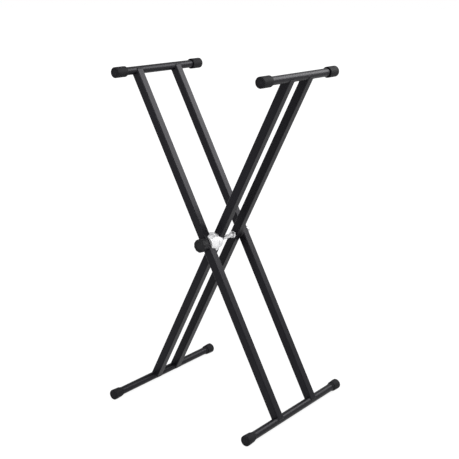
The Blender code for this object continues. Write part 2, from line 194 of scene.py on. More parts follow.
class Finishes(bpy.types.PropertyGroup):
    """Base colours of the finishes."""

    coat: FloatVectorProperty(name="Powder coat", description="Black powder coat", subtype="COLOR",
                              default=(0.0075, 0.0073, 0.0092))
    rubber: FloatVectorProperty(name="Rubber", description="Black rubber of the caps", subtype="COLOR",
                                default=(0.0100, 0.0098, 0.0115))
    plastic: FloatVectorProperty(name="Plastic", description="Black plastic of the knob", subtype="COLOR",
                                 default=(0.0100, 0.0098, 0.0115))
    zinc: FloatVectorProperty(name="Zinc", description="Bright plated die casting", subtype="COLOR",
                              default=(0.83, 0.83, 0.84))
    steel: FloatVectorProperty(name="Steel", description="Bright plated steel", subtype="COLOR",
                               default=(0.66, 0.66, 0.67))
    brass: FloatVectorProperty(name="Brass", description="Brass of the knob's insert", subtype="COLOR",
                               default=(0.70, 0.50, 0.20))


class StageSettings(bpy.types.PropertyGroup):
    """Camera and light."""

    camera_offset: FloatVectorProperty(name="Camera offset", description="Place from the axle's middle",
                                       default=(1.6564, -2.1499, 0.7378), subtype="TRANSLATION")
    yaw: FloatProperty(name="Yaw", description="Turn of the camera to the left of +Y", subtype="ANGLE",
                       default=math.radians(37.344))
    pitch: FloatProperty(name="Pitch", description="Downward tilt of the camera", subtype="ANGLE",
                         default=math.radians(14.759))
    roll: FloatProperty(name="Roll", description="Roll of the camera", subtype="ANGLE",
                        default=math.radians(-0.518))
    focal_pixels: FloatProperty(name="Focal length in pixels", description="For an image 459 pixels wide",
                                default=964.0)
    image_width: IntProperty(name="Image width", description="Width of the photograph's frame in pixels",
                             default=459)
    floor_colour: FloatVectorProperty(name="Floor", description="Colour of the floor", subtype="COLOR",
                                      default=(0.90, 0.90, 0.90))


class Field:
    """A number that varies over a surface: arithmetic on it adds Math nodes."""

    def __init__(self, shader, socket):
        self.shader = shader
        self.socket = socket

    def math(self, operation, first, second):
        """Add one Math node."""
        return self.shader.node("ShaderNodeMath", {"operation": operation}, {0: first, 1: second})

    def __add__(self, other):
        return self.math("ADD", self, other)

    def __radd__(self, other):
        return self.math("ADD", other, self)

    def __sub__(self, other):
        return self.math("SUBTRACT", self, other)

    def __rsub__(self, other):
        return self.math("SUBTRACT", other, self)

    def __mul__(self, other):
        return self.math("MULTIPLY", self, other)

    def __rmul__(self, other):
        return self.math("MULTIPLY", other, self)


# Sockets of the Mix node that carry a factor, two colours and their blend
MIX_FACTOR = 0
MIX_FIRST = 6
MIX_SECOND = 7
MIX_RESULT = 2


class Nodes:
    """Adds nodes to one tree."""

    def __init__(self, tree):
        self.tree = tree

    def node(self, kind, settings, values, output=0):
        """Add a node: its settings first, then the values or links of its sockets."""
        made = self.tree.nodes.new(kind)
        for name, value in settings.items():
            setattr(made, name, value)
        for name, value in values.items():
            if isinstance(value, Field):
                self.tree.links.new(value.socket, made.inputs[name])
            else:
                made.inputs[name].default_value = value
        return None if output is None else Field(self, made.outputs[output])

    def ramp(self, value, low, high, first=0.0, last=1.0):
        """Map a range of values onto another, clamped."""
        values = {"Value": value, "From Min": low, "From Max": high, "To Min": first, "To Max": last}
        return self.node("ShaderNodeMapRange", {"clamp": True}, values)

    def seen(self):
        """One where a ray comes from the camera, a mirror or glass."""
        seen = self.node("ShaderNodeLightPath", {}, {}, "Is Camera Ray")
        for name in ("Is Glossy Ray", "Is Transmission Ray"):
            seen = seen.math("MAXIMUM", seen, self.node("ShaderNodeLightPath", {}, {}, name))
        return seen


class Finish(Nodes):
    """A material whose nodes are added by expressions."""

    def __init__(self, name, metallic, specular, tint=(1.0, 1.0, 1.0)):
        self.material = bpy.data.materials.new(name)
        self.material.use_nodes = True
        super().__init__(self.material.node_tree)
        self.surface = self.tree.nodes["Principled BSDF"]
        self.surface.inputs["Metallic"].default_value = metallic
        self.surface.inputs["Specular IOR Level"].default_value = specular
        self.surface.inputs["Specular Tint"].default_value = (*tint, 1.0)
        self.place = self.node("ShaderNodeTexCoord", {}, {}, "Object")

    def noise(self, scale, detail=4.0, roughness=0.5, place=None):
        """Fractal noise about one half, in cycles per metre."""
        values = {"Vector": place or self.place, "Scale": scale, "Detail": detail, "Roughness": roughness}
        return self.node("ShaderNodeTexNoise", {}, values, "Fac")

    def stretched(self, scale):
        """Coordinates scaled unevenly, for drawn or brushed grain."""
        return self.node("ShaderNodeMapping", {}, {"Vector": self.place, "Scale": scale})

    def cells(self, scale):
        """Distance from the middles of Voronoi cells, in cycles per metre."""
        return self.node("ShaderNodeTexVoronoi", {}, {"Vector": self.place, "Scale": scale}, "Distance")

    def mix(self, factor, first, second):
        """Blend two colours."""
        values = {MIX_FACTOR: factor}
        for socket, value in ((MIX_FIRST, first), (MIX_SECOND, second)):
            values[socket] = value if isinstance(value, Field) else (*value, 1.0)
        return self.node("ShaderNodeMix", {"data_type": "RGBA"}, values, MIX_RESULT)

    def colour(self, value):
        """Drive the base colour."""
        self.tree.links.new(value.socket, self.surface.inputs["Base Color"])

    def roughness(self, value):
        """Drive the roughness."""
        self.tree.links.new(value.socket, self.surface.inputs["Roughness"])

    def relief(self, height, distance, strength=1.0):
        """Feed a height in 0..1 to the normal."""
        values = {"Strength": strength, "Distance": distance, "Height": height}
        bump = self.node("ShaderNodeBump", {}, values, "Normal")
        self.tree.links.new(bump.socket, self.surface.inputs["Normal"])


def scaled(colour, factor):
    """A colour made lighter or darker."""
    return tuple(channel * factor for channel in colour)


def powder_coat(colour):
    """Fine-textured black powder coat: grit, soft cloudiness and a few rubbed places."""
    finish = Finish("powder_coat", metallic=0.0, specular=0.115, tint=(0.94, 0.92, 1.0))
    cloud = finish.noise(9.0, 3.0)
    grit = finish.noise(1500.0, 3.0, 0.6)
    peel = finish.noise(420.0, 2.0)
    rub = finish.ramp(finish.noise(34.0, 6.0, 0.65), 0.60, 0.74)
    finish.colour(finish.mix(rub * 0.35, finish.mix(cloud, scaled(colour, 0.75), scaled(colour, 1.35)),
                             scaled(colour, 2.2)))
    finish.roughness(0.29 + cloud * 0.09 + grit * 0.08 - rub * 0.05)
    finish.relief(grit * 0.4 + peel * 0.6, 0.00006, 0.35)
    return finish.material


def cap_rubber(colour):
    """Moulded rubber: matt skin, pale bloom and short scuffs."""
    finish = Finish("cap_rubber", metallic=0.0, specular=0.11)
    skin = finish.noise(1900.0, 4.0, 0.6)
    bloom = finish.ramp(finish.noise(60.0, 5.0, 0.6), 0.45, 0.75)
    scuff = finish.ramp(finish.noise(1.0, 5.0, 0.7, finish.stretched((260.0, 90.0, 700.0))), 0.62, 0.72)
    finish.colour(finish.mix(scuff * 0.3, finish.mix(bloom, scaled(colour, 0.8), scaled(colour, 1.7)),
                             scaled(colour, 2.6)))
    finish.roughness(0.58 + bloom * 0.16 + skin * 0.12)
    finish.relief(skin * 0.7 + scuff * 0.3, 0.00010, 0.5)
    return finish.material


def moulded_plastic(name, colour):
    """Spark-eroded moulded plastic."""
    finish = Finish(name, metallic=0.0, specular=0.14)
    spark = finish.noise(1300.0, 3.0, 0.55)
    cloud = finish.noise(45.0, 3.0)
    finish.colour(finish.mix(cloud, scaled(colour, 0.8), scaled(colour, 1.5)))
    finish.roughness(0.36 + spark * 0.16 + cloud * 0.08)
    finish.relief(spark, 0.00009, 0.5)
    return finish.material


def cast_zinc(colour):
    """Bright plated casting: slightly rolling skin, pits and pale bloom."""
    finish = Finish("cast_zinc", metallic=0.65, specular=0.5)
    skin = finish.noise(240.0, 4.0)
    pits = finish.ramp(finish.cells(900.0), 0.0, 0.22)
    bloom = finish.noise(70.0, 4.0, 0.6)
    finish.colour(finish.mix(bloom, scaled(colour, 0.86), scaled(colour, 1.08)))
    finish.roughness(0.34 + bloom * 0.16 + (1.0 - pits) * 0.12)
    finish.relief(skin * 0.7 + pits * 0.3, 0.00008, 0.45)
    return finish.material


def plated_steel(colour):
    """Machined and plated steel with turning marks round the axle."""
    finish = Finish("plated_steel", metallic=1.0, specular=0.5)
    lathe_marks = finish.noise(1.0, 3.0, 0.5, finish.stretched((60.0, 3200.0, 60.0)))
    bloom = finish.noise(120.0, 4.0)
    finish.colour(finish.mix(bloom, scaled(colour, 0.82), scaled(colour, 1.15)))
    finish.roughness(0.18 + lathe_marks * 0.14 + bloom * 0.10)
    finish.relief(lathe_marks, 0.00005, 0.4)
    return finish.material


def turned_brass(colour):
    """Turned brass, a little tarnished."""
    finish = Finish("turned_brass", metallic=1.0, specular=0.5)
    tarnish = finish.noise(180.0, 4.0)
    finish.colour(finish.mix(tarnish, scaled(colour, 0.7), scaled(colour, 1.1)))
    finish.roughness(0.22 + tarnish * 0.2)
    finish.relief(tarnish, 0.00004, 0.3)
    return finish.material


# Finishes made so far, by name
MADE = {}


def finish_named(name):
    """The finish of that name, made once."""
    if name not in MADE:
        colours = bpy.context.scene.stand_finishes
        makers = {
            "coat": lambda: powder_coat(tuple(colours.coat)),
            "rubber": lambda: cap_rubber(tuple(colours.rubber)),
            "plastic": lambda: moulded_plastic("knob_plastic", tuple(colours.plastic)),
            "nylon": lambda: moulded_plastic("spacer_nylon", scaled(tuple(colours.plastic), 1.3)),
            "zinc": lambda: cast_zinc(tuple(colours.zinc)),
            "steel": lambda: plated_steel(tuple(colours.steel)),
            "brass": lambda: turned_brass(tuple(colours.brass)),
        }
        MADE[name] = makers[name]()
    return MADE[name]


def arc(centre, radius, start, end, steps):
    """Points of a round stretch of a profile, from start to end in degrees."""
    points = []
    for index in range(steps + 1):
        angle = math.radians(start + (end - start) * index / steps)
        points.append((centre[0] + radius * math.cos(angle), centre[1] + radius * math.sin(angle)))
    return points


def turned(profile, segments, closed=False, reach=None):
    """A bmesh of a profile of (radius, height) turned about Z; reach(angle, r, z) may change a radius."""
    shape = bmesh.new()
    rings = []
    for r, z in profile:
        if r < 1e-7:
            rings.append([shape.verts.new((0, 0, z))])
            continue
        ring = []
        for index in range(segments):
            angle = 2 * math.pi * index / segments
            radius = reach(angle, r, z) if reach else r
            ring.append(shape.verts.new((radius * math.cos(angle), radius * math.sin(angle), z)))
        rings.append(ring)
    pairs = list(zip(rings, rings[1:]))
    if closed:
        pairs.append((rings[-1], rings[0]))
    for upper, lower in pairs:
        for index in range(segments):
            follow = (index + 1) % segments
            if len(upper) == 1 and len(lower) == 1:
                continue
            if len(upper) == 1:
                shape.faces.new((upper[0], lower[index], lower[follow]))
            elif len(lower) == 1:
                shape.faces.new((upper[index], lower[0], upper[follow]))
            else:
                shape.faces.new((upper[index], lower[index], lower[follow], upper[follow]))
    bmesh.ops.recalc_face_normals(shape, faces=shape.faces)
    return shape


def plug(radius, reach, facets):
    """A solid round bar along Z that cuts a bore, reaching both ways from the origin."""
    return turned([(0, reach), (radius, reach), (radius, -reach), (0, -reach)], facets)


def shade(mesh, sharp):
    """Smooth shading with sharp edges from an angle in degrees."""
    mesh.shade_smooth()
    mesh.set_sharp_from_angle(angle=math.radians(sharp))


def finished_piece(name, shape, local, finish, body, nodes, sharp=32.0):
    """Turn a bmesh into a named piece that rides on its body and stands for its nodes."""
    mesh = bpy.data.meshes.new(name)
    shape.transform(local)
    shape.to_mesh(mesh)
    shape.free()
    shade(mesh, sharp)
    piece = bpy.data.objects.new(name, mesh)
    bpy.context.scene.collection.objects.link(piece)
    mesh.materials.append(finish_named(finish))
    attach(piece, body)
    if nodes:
        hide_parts(*nodes)
    return piece


# Least angle in degrees of a sharp edge on a piece that has been cut
CUT_SHARP = 30.0

# Points along each flat and steps round each corner: of a leg, and of the weld bead round its end
LEG_POINTS = (14, 6)
BEAD_POINTS = (26, 7)

# A weld bead's facets, its thickness as a share of its width, and its least width, ripple and waver
BEAD_FACETS = 10
BEAD_FLATNESS = 0.62
BEAD_LEAST = 0.86
BEAD_RIPPLE = 0.2
BEAD_WAVER = 0.06

# Points nearer to each other than this are merged into one
SAME_PLACE = 0.000002


def apply_modifiers(piece):
    """Keep the evaluated shape, drop the modifiers and merge points that lie in one place."""
    graph = bpy.context.evaluated_depsgraph_get()
    mesh = bpy.data.meshes.new_from_object(piece.evaluated_get(graph))
    piece.modifiers.clear()
    piece.data = mesh
    shape = bmesh.new()
    shape.from_mesh(mesh)
    bmesh.ops.remove_doubles(shape, verts=shape.verts, dist=SAME_PLACE)
    bmesh.ops.dissolve_degenerate(shape, edges=shape.edges, dist=SAME_PLACE)
    shape.to_mesh(mesh)
    shape.free()


def cut(piece, shape, local):
    """Cut a bmesh out of a piece with the exact solver and keep the result."""
    mesh = bpy.data.meshes.new("cut")
    shape.transform(local)
    shape.to_mesh(mesh)
    shape.free()
    tool = bpy.data.objects.new("cut", mesh)
    bpy.context.scene.collection.objects.link(tool)
    modifier = piece.modifiers.new("cut", "BOOLEAN")
    modifier.operation = "DIFFERENCE"
    modifier.solver = "EXACT"
    modifier.object = tool
    apply_modifiers(piece)
    bpy.data.objects.remove(tool, do_unlink=True)


def soften(piece, width, angle):
    """Round the edges that are sharper than an angle in degrees."""
    modifier = piece.modifiers.new("soften", "BEVEL")
    modifier.width = width
    modifier.segments = 2
    modifier.limit_method = "ANGLE"
    modifier.angle_limit = math.radians(angle)
    apply_modifiers(piece)


def rounded_square(side, corner, flat_points, corner_steps):
    """Outline of a square with round corners and points along its flats."""
    reach = side / 2 - corner
    points = []
    corners = ((1, 1), (-1, 1), (-1, -1), (1, -1))
    for quarter, (sx, sy) in enumerate(corners):
        points += arc((sx * reach, sy * reach), corner, 90 * quarter, 90 * quarter + 90, corner_steps)
        nx, ny = corners[(quarter + 1) % 4]
        last = points[-1]
        turn = math.radians(90 * quarter + 90)
        target = (nx * reach + corner * math.cos(turn), ny * reach + corner * math.sin(turn))
        for step in range(1, flat_points):
            share = step / flat_points
            points.append((last[0] + (target[0] - last[0]) * share, last[1] + (target[1] - last[1]) * share))
    return points


def join_rings(shape, rings):
    """Close a loop of equal rings with four-sided faces."""
    for first, second in zip(rings, rings[1:] + rings[:1]):
        for index in range(len(first)):
            follow = (index + 1) % len(first)
            shape.faces.new((first[index], second[index], second[follow], first[follow]))
    bmesh.ops.recalc_face_normals(shape, faces=shape.faces)


def frame_matrix(which):
    """World place of a frame's own axes at the axle, with Z along its legs."""
    top = box_middle(f"{which}_top_bar")
    lean = math.atan2(top.x - PIVOT.x, top.z - PIVOT.z)
    return Matrix.Translation(PIVOT) @ Matrix.Rotation(lean, 4, "Y")


def leg_reach(which, bar):
    """Distance from the axle to a bar's middle line."""
    middle = box_middle(f"{which}_{bar}_bar")
    return math.hypot(middle.x - PIVOT.x, middle.z - PIVOT.z)


def on_axle(y, turn):
    """Place of a piece whose own Z axis lies on the axle, with its origin at y."""
    return Matrix.Translation((PIVOT.x, y, PIVOT.z)) @ turn


def side_of(node):
    """A node's middle along the axle, measured from the axle's middle."""
    return box_middle(node).y - PIVOT.y


def cope(x, radius):
    """How far the coped end lies short of the bar's middle line."""
    return math.sqrt(max(radius * radius - x * x, 0.0))


def leg_place(which, end):
    """Place of a leg: its frame's axes, moved along the axle to its tube."""
    return frame_matrix(which) @ Matrix.Translation((0, side_of(f"{which}_{end}_tube"), 0))


def coped_leg(which, end):
    """One hollow square leg, saddle-cut to both bars and bored for the axle."""
    sizes = bpy.context.scene.stand_frame
    radius = BAR_RADIUS + sizes.seat_gap
    upper = leg_reach(which, "top")
    lower = leg_reach(which, "foot")
    shape = bmesh.new()
    tops = []
    feet = []
    for inset in (0.0, sizes.tube_wall):
        outline = rounded_square(sizes.tube_side - 2 * inset, sizes.tube_corner - inset, *LEG_POINTS)
        tops.append([shape.verts.new((x, y, upper - cope(x, radius))) for x, y in outline])
        feet.append([shape.verts.new((x, y, -lower + cope(x, radius))) for x, y in outline])
    join_rings(shape, [tops[0], feet[0], feet[1], tops[1]])
    local = leg_place(which, end)
    piece = finished_piece(f"{which}_{end}_leg", shape, local, "coat", f"{which}_frame",
                           [f"{which}_{end}_tube"])
    cut(piece, plug(LEG_BORE, sizes.tube_side, BORE_FACETS), local @ FACE_FRONT)
    shade(piece.data, CUT_SHARP)
    return piece


def weld_bead(which, end, bar):
    """A rippled weld bead along the coped edge where a leg meets its bar."""
    sizes = bpy.context.scene.stand_frame
    radius = BAR_RADIUS + sizes.seat_gap
    height = leg_reach(which, bar)
    up = 1 if bar == "top" else -1
    outline = rounded_square(sizes.tube_side, sizes.tube_corner, *BEAD_POINTS)
    path = [Vector((x, y, up * (height - cope(x, radius)))) for x, y in outline]
    shape = bmesh.new()
    rings = []
    travelled = 0.0
    for index, point in enumerate(path):
        ahead = path[(index + 1) % len(path)]
        tangent = (ahead - path[index - 1]).normalized()
        outward = Vector((point.x, point.y, 0)).normalized()
        outward = (outward - tangent * outward.dot(tangent)).normalized()
        across = tangent.cross(outward)
        phase = travelled / sizes.ripple_pitch % 1.0
        waver = math.sin(9 * point.x / radius + 5 * point.y / radius)
        swell = sizes.bead_radius * (BEAD_LEAST + BEAD_RIPPLE * phase + BEAD_WAVER * waver)
        ring = []
        for step in range(BEAD_FACETS):
            angle = 2 * math.pi * step / BEAD_FACETS
            offset = outward * math.cos(angle) * swell * BEAD_FLATNESS + across * math.sin(angle) * swell
            ring.append(shape.verts.new(point + offset))
        rings.append(ring)
        travelled += (ahead - point).length
    join_rings(shape, rings)
    local = leg_place(which, end)
    return finished_piece(f"{which}_{end}_{bar}_weld", shape, local, "coat", f"{which}_frame", [], sharp=60.0)


def bar_tube(which, bar):
    """A round cross bar, hollow, with softened ends inside its caps."""
    sizes = bpy.context.scene.stand_frame
    node = f"{which}_{bar}_bar"
    half = box_size(node).y / 2
    inner = BAR_RADIUS - sizes.bar_wall
    soft = sizes.bar_wall / 4
    belts = 6
    profile = [(BAR_RADIUS - soft, half), (BAR_RADIUS, half - soft)]
    profile += [(BAR_RADIUS, half * (1 - step / belts)) for step in range(1, 2 * belts)]
    profile += [(BAR_RADIUS, soft - half), (BAR_RADIUS - soft, -half), (inner, -half), (inner, half)]
    local = Matrix.Translation(box_middle(node)) @ FACE_FRONT
    return finished_piece(f"{which}_{bar}_rail", turned(profile, BAR_FACETS, True), local, "coat",
                          f"{which}_frame", [node])


# A cap's end: its centre mark as radii and depths, its ring as shares of the cap's radius and depths
CAP_MARK = ((0, 0.0006), (0.0014, 0.0006), (0.0019, 0.0002), (0.0026, 0.0004))
CAP_RING = ((0.62, 0.0004), (0.64, 0.0009), (0.67, 0.0009), (0.69, 0.0001))

# Height of the ring of points round a top cap's body, as a share of its length
TOP_CAP_BELT = 0.6

# Width and height of the thin lip where a foot cap meets its bar
FOOT_LIP = (0.0004, 0.0003)


def cap_tip(radius, length, rim):
    """Profile of a cap's end: centre mark, ring groove and round rim."""
    profile = [(r, length - depth) for r, depth in CAP_MARK]
    profile += [(radius * share, length - depth) for share, depth in CAP_RING]
    return profile + arc((radius - rim, length - rim), rim, 90, 0, 8)


def top_cap_side(radius, hole, sizes):
    """Profile of a top cap: straight body, sloped shoulder and an open mouth round the bar."""
    soft = sizes.edge_round
    lip = soft / 2
    shoulder = sizes.top_length - sizes.top_body
    slope = math.degrees(math.atan2(radius - sizes.top_lip, shoulder))
    profile = [(radius, sizes.top_length * TOP_CAP_BELT)]
    profile += arc((radius - soft, shoulder), soft, 0, -slope, 4)
    profile += arc((sizes.top_lip - lip, lip), lip, -slope, -90, 3)
    return profile + [(hole, sizes.mouth_depth)]


def foot_cap_side(radius, hole, sizes):
    """Profile of a foot cap: full-size stretch, tapered body, dark step and a collar down to the bar."""
    soft = sizes.edge_round
    crest = soft / 2
    step = sizes.foot_length - sizes.foot_body
    collar = step - sizes.step_width
    bottom = sizes.collar_radius - sizes.step_depth
    lip_width, lip_height = FOOT_LIP
    profile = [(radius, sizes.foot_length - sizes.foot_straight)]
    profile += arc((sizes.foot_waist - soft, step + soft), soft, 0, -90, 4)
    profile += [(bottom, step), (bottom, collar)]
    profile += arc((sizes.collar_radius - crest, collar - crest), crest, 90, 10, 3)
    return profile + [(hole + lip_width, lip_height), (hole + lip_width / 2, 0)]


def end_cap(which, bar, end):
    """A rubber end cap on one end of a bar."""
    sizes = bpy.context.scene.stand_caps
    node = f"{which}_{bar}_bar_{end}_cap"
    hole = BAR_RADIUS + bpy.context.scene.stand_frame.seat_gap
    length = sizes.top_length if bar == "top" else sizes.foot_length
    side_profile = top_cap_side if bar == "top" else foot_cap_side
    profile = cap_tip(CAP_RADIUS, length, sizes.rim_round) + side_profile(CAP_RADIUS, hole, sizes)
    profile += [(hole, length - sizes.end_wall), (0, length - sizes.end_wall)]
    side = -1 if end == "front" else 1
    middle = box_middle(node)
    thin_end = end_of(node, side) - side * length
    local = Matrix.Translation((middle.x, thin_end, middle.z)) @ (FACE_BACK if side > 0 else FACE_FRONT)
    return finished_piece(f"{which}_{bar}_{end}_end_cap", turned(profile, sizes.segments), local, "rubber",
                          f"{which}_frame", [node])


def clutch_profile(sizes, radius, length):
    """Profile of a clutch half down from its teeth: rim, full-size band, tapered body, rounded end."""
    soft = sizes.rim_round
    end = sizes.end_diameter / 2
    shoulder = 0.0007
    bulge = 0.0006
    belts = 8
    start = radius - shoulder
    profile = [(0, 0)] + arc((radius - soft, -soft), soft, 90, 0, 6)
    profile += [(radius, -sizes.band + shoulder / 2), (radius - shoulder / 2, -sizes.band)]
    profile += [(start, -sizes.band - shoulder)]
    for step in range(1, belts):
        share = step / belts
        crown = bulge * math.sin(math.pi * share)
        height = -sizes.band - (length - soft - sizes.band) * share
        profile.append((start + (end - start) * share + crown, height))
    return profile + arc((end - soft, -length + soft), soft, 0, -90, 6) + [(0, -length)]


def tooth_grooves(sizes, radius):
    """The radial grooves between a clutch half's teeth, deepest at its rim."""
    past_rim = 0.002
    outer = radius + past_rim
    inner = 0.003
    rim_depth = sizes.tooth_depth
    hub_depth = rim_depth * inner / outer
    grooves = bmesh.new()
    radial = Matrix.Translation(((outer + inner) / 2, 0, 0)) @ Matrix.Rotation(math.radians(-90), 4, "Y")
    for index in range(sizes.tooth_count):
        spin = Matrix.Rotation(2 * math.pi * (index + 0.5) / sizes.tooth_count, 4, "Z")
        bmesh.ops.create_cone(grooves, cap_ends=True, segments=4, radius1=rim_depth, radius2=hub_depth,
                              depth=outer - inner, matrix=spin @ radial)
    return grooves


def clutch_casting(which):
    """A clutch half: turned body with cheeks round its leg, spring well and radial teeth."""
    sizes = bpy.context.scene.stand_clutch
    gap = bpy.context.scene.stand_frame.seat_gap
    tube = bpy.context.scene.stand_frame.tube_side
    node = f"{which}_clutch_half"
    radius = box_size(node).x / 2
    length = box_size(node).y
    towards = 1 if which == "outer" else -1
    mating = end_of(node, towards) - PIVOT.y
    base = frame_matrix(which)
    seat = base @ Matrix.Translation((0, mating, 0)) @ (FACE_BACK if towards > 0 else FACE_FRONT)
    body = turned(clutch_profile(sizes, radius, length), CLUTCH_FACETS)
    piece = finished_piece(f"{which}_clutch_casting", body, seat, "zinc", f"{which}_frame", [node])
    channel = bmesh.new()
    depth = 2 * sizes.cheek_reach
    behind = mating - towards * (length - sizes.cheek_reach - gap + depth / 2)
    bmesh.ops.create_cube(channel, size=1.0, matrix=Matrix.Diagonal((tube + 2 * gap, depth, 3 * radius, 1)))
    cut(piece, channel, base @ Matrix.Translation((0, behind, 0)))
    soften(piece, width=0.0005, angle=40.0)
    cut(piece, plug(AXLE_BORE, 1, BORE_FACETS), seat)
    cut(piece, plug(sizes.well_radius, sizes.well_depth, WELL_FACETS), seat)
    cut(piece, tooth_grooves(sizes, radius), seat)
    shade(piece.data, CUT_SHARP)
    return piece


# The knob's dished face as radii and depths below its front
KNOB_FACE = ((0, 0.0016), (0.0030, 0.0016), (0.0036, 0.0012), (0.0105, 0.0012), (0.0112, 0.0017),
             (0.0122, 0.0017), (0.0130, 0.0003))

# Share of the knob's radius outside which its flutes are cut
FLUTES_FROM = 0.78


def grip_knob():
    """The knob: fluted grip, dished front with a disc, and a socket for its insert."""
    sizes = bpy.context.scene.stand_clutch
    gap = bpy.context.scene.stand_frame.seat_gap
    radius = box_size("knob").z / 2
    length = box_size("knob").y
    socket = box_size("knob_insert").z / 2 + gap
    depth = box_size("knob_insert").y + gap
    front = 0.0028
    back = 0.0010
    belts = 5
    profile = [(r, length - below) for r, below in KNOB_FACE]
    profile += arc((radius - front, length - front), front, 88, 0, 8)
    profile += [(radius, length - front - (length - front - back) * step / belts) for step in range(1, belts)]
    profile += arc((radius - back, back), back, 0, -90, 4)
    profile += [(socket, 0), (socket, depth), (0, depth)]

    def fluted(angle, r, z):
        wave = (0.5 + 0.5 * math.cos(sizes.flutes * angle)) ** 3
        share = max(0.0, (r / radius - FLUTES_FROM) / (1.0 - FLUTES_FROM))
        return r - sizes.flute_depth * wave * share

    local = on_axle(end_of("knob", 1), FACE_FRONT)
    return finished_piece("grip_knob", turned(profile, KNOB_FACETS, reach=fluted), local, "plastic",
                          "clutch_knob", ["knob"])


def threaded_axle():
    """The axle with its rolled thread from end to end."""
    sizes = bpy.context.scene.stand_clutch
    radius = box_size("axle").z / 2
    length = box_size("axle").y
    rings_per_turn = 5
    steps = int(length / sizes.thread_pitch * rings_per_turn)
    chamfer = 0.0012
    chamfer_slope = 0.6
    crest_level = 1.6
    flank_slope = 4.4
    profile = [(0, 0)] + [(radius, -length * index / steps) for index in range(steps + 1)] + [(0, -length)]

    def rolled(angle, r, z):
        phase = (z / sizes.thread_pitch + angle / (2 * math.pi)) % 1.0
        crest = min(1.0, max(0.0, crest_level - abs(phase - 0.5) * flank_slope))
        taper = min(1.0, -z / chamfer, (length + z) / chamfer)
        return r - sizes.thread_depth * (1.0 - crest) - (1.0 - taper) * chamfer * chamfer_slope

    local = on_axle(end_of("axle", 1), FACE_BACK)
    return finished_piece("threaded_axle", turned(profile, AXLE_FACETS, reach=rolled), local, "steel",
                          "outer_frame", ["axle"], sharp=60.0)


def hexagon(angle, across_flats):
    """Radius of a hexagon in a direction."""
    sector = math.radians(60)
    return across_flats / 2 / math.cos((angle + sector / 2) % sector - sector / 2)


# The dome nut's hexagon height, dome radius and bore depth
DOME_BASE = 0.008
DOME_RADIUS = 0.0084
DOME_BORE = 0.012

# A flange nut's flange: its height, the step up to the hexagon, and its rim as insets and heights
FLANGE = 0.0022
FLANGE_STEP = 0.0001
FLANGE_RIM = ((0.0008, 0.0022), (0.0001, 0.0016), (0, 0.0005), (0.0005, 0))

# Radii that belong to a nut's hexagon, as shares of its corners' radius
HEXAGON_SHARES = (0.985, 1.02)


def hex_nut(name, node, towards, domed=False):
    """A chamfered hexagon nut, with a round flange or with a dome."""
    sizes = bpy.context.scene.stand_clutch
    length = box_size(node).y
    corner = sizes.across_flats / 2 / math.cos(math.radians(30))
    bevel = 0.0009
    foot_bevel = 0.0007
    chamfer = 0.0010
    chamfer_slope = 1.6
    face_share = 0.9
    if domed:
        top = DOME_BASE
        lowest = 0.0
        profile = [(0, length)] + arc((0, top), DOME_RADIUS, 84, 0, 10)
        rim = [(corner, foot_bevel), (corner - bevel, 0)]
        rim += [(AXLE_BORE, 0), (AXLE_BORE, DOME_BORE), (0, DOME_BORE)]
    else:
        top = length
        lowest = FLANGE
        outer = box_size(node).z / 2
        profile = [(AXLE_BORE, length), (corner * face_share, length)]
        rim = [(corner, FLANGE + FLANGE_STEP)]
        rim += [(outer - inset, height) for inset, height in FLANGE_RIM]
        rim += [(AXLE_BORE, 0)]
    profile += [(corner, top - bevel * step / 3) for step in range(4)] + [(corner, top / 2)] + rim

    def faceted(angle, r, z):
        least, most = HEXAGON_SHARES
        if r < corner * least or r > corner * most or z < lowest:
            return r
        chamfered = corner - max(0.0, z - (top - chamfer)) * chamfer_slope
        return min(hexagon(angle, sizes.across_flats), chamfered)

    local = on_axle(end_of(node, -towards), FACE_BACK if towards > 0 else FACE_FRONT)
    return finished_piece(name, turned(profile, NUT_FACETS, not domed, faceted), local, "steel",
                          "outer_frame", [node], sharp=25.0)


def plain_ring(name, node, finish, body, soft):
    """A washer or spacer with softened edges."""
    outer = box_size(node).z / 2
    half = box_size(node).y / 2
    profile = arc((outer - soft, half - soft), soft, 90, 0, 4)
    profile += arc((outer - soft, soft - half), soft, 0, -90, 4)
    profile += arc((AXLE_BORE + soft, soft - half), soft, 270, 180, 3)
    profile += arc((AXLE_BORE + soft, half - soft), soft, 180, 90, 3)
    local = on_axle((end_of(node, -1) + end_of(node, 1)) / 2, FACE_BACK)
    return finished_piece(name, turned(profile, RING_FACETS, True), local, finish, body, [node])


class StandOperator:
    """What all the operators of the stand share."""

    bl_options = {"REGISTER", "UNDO"}


class STAND_OT_legs(StandOperator, bpy.types.Operator):
    """Build the four square legs"""

    bl_idname = "stand.legs"
    bl_label = "Legs"

    def execute(self, context):
        for which, end in product(FRAMES, ENDS):
            coped_leg(which, end)
        return {"FINISHED"}


class STAND_OT_bars(StandOperator, bpy.types.Operator):
    """Build the top and foot bars"""

    bl_idname = "stand.bars"
    bl_label = "Bars"

    def execute(self, context):
        for which, bar in product(FRAMES, BARS):
            bar_tube(which, bar)
        return {"FINISHED"}


class STAND_OT_welds(StandOperator, bpy.types.Operator):
    """Build the weld beads between legs and bars"""

    bl_idname = "stand.welds"
    bl_label = "Weld beads"

    def execute(self, context):
        for which, end, bar in product(FRAMES, ENDS, BARS):
            weld_bead(which, end, bar)
        return {"FINISHED"}


class STAND_OT_caps(StandOperator, bpy.types.Operator):
    """Build the eight rubber end caps"""

    bl_idname = "stand.caps"
    bl_label = "End caps"

    def execute(self, context):
        for which, bar, end in product(FRAMES, BARS, ENDS):
            end_cap(which, bar, end)
        return {"FINISHED"}


class STAND_OT_clutch(StandOperator, bpy.types.Operator):
    """Build the two clutch castings"""

    bl_idname = "stand.clutch"
    bl_label = "Clutch"

    def execute(self, context):
        for which in FRAMES:
            clutch_casting(which)
        return {"FINISHED"}


